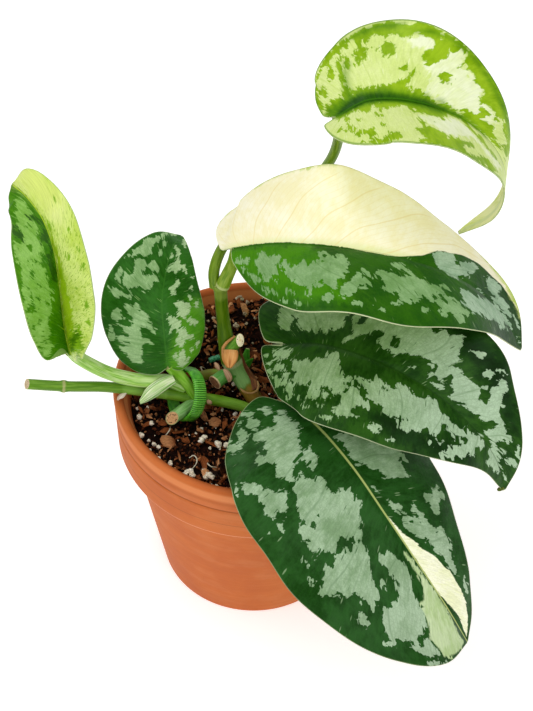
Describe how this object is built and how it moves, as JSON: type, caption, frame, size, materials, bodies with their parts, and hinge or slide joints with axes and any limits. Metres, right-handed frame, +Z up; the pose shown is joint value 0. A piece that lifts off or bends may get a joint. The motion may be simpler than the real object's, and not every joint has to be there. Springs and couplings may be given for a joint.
{
  "type": "potted variegated satin pothos",
  "caption": "Satin pothos with silver-blotched, lime and cream leaves on arching petioles, a cut vine and a soft tie, growing in a tapered terracotta pot of potting mix.",
  "frame": {"origin": "centre of the bounding box, at the bottom; the pot stands on its foot at z = 0", "axes": "+Z up; +Y away from the side that the leaves lean toward; +X to the right of that view"},
  "size_m": [0.2032, 0.185, 0.2382],
  "materials": {
    "terracotta": "matte",
    "potting_mix": "matte",
    "lime_leaf": "satin",
    "cream_leaf": "satin",
    "silver_leaf": "satin",
    "folded_leaf": "satin",
    "green_stem": "satin",
    "petiole": "satin",
    "cut_stem": "satin",
    "leaf_sheath": "satin",
    "tie": "satin",
    "bud_scale": "matte",
    "dry_sheath": "matte",
    "coated_wire": "gloss"
  },
  "bodies": {
    "root": {"pot": "terracotta", "potting_mix": "potting_mix", "leaf_high_lime": "lime_leaf", "leaf_half_cream": "cream_leaf", "leaf_middle": "silver_leaf", "leaf_front": "silver_leaf", "leaf_round": "silver_leaf", "leaf_folded": "folded_leaf", "main_stem": "green_stem", "trailing_vine": "green_stem", "petiole_high_lime": "petiole", "petiole_half_cream": "petiole", "petiole_middle": "petiole", "petiole_front": "petiole", "petiole_round": "petiole", "petiole_folded": "petiole", "cut_side_shoot": "cut_stem", "new_leaf_sheath": "leaf_sheath", "cut_petiole": "cut_stem", "side_stub_near": "cut_stem", "side_stub_far": "cut_stem", "plant_tie": "tie", "bud_scale": "bud_scale", "brown_sheath": "dry_sheath", "green_wire": "coated_wire", "young_shoot": "green_stem"}
  },
  "joints": []
}
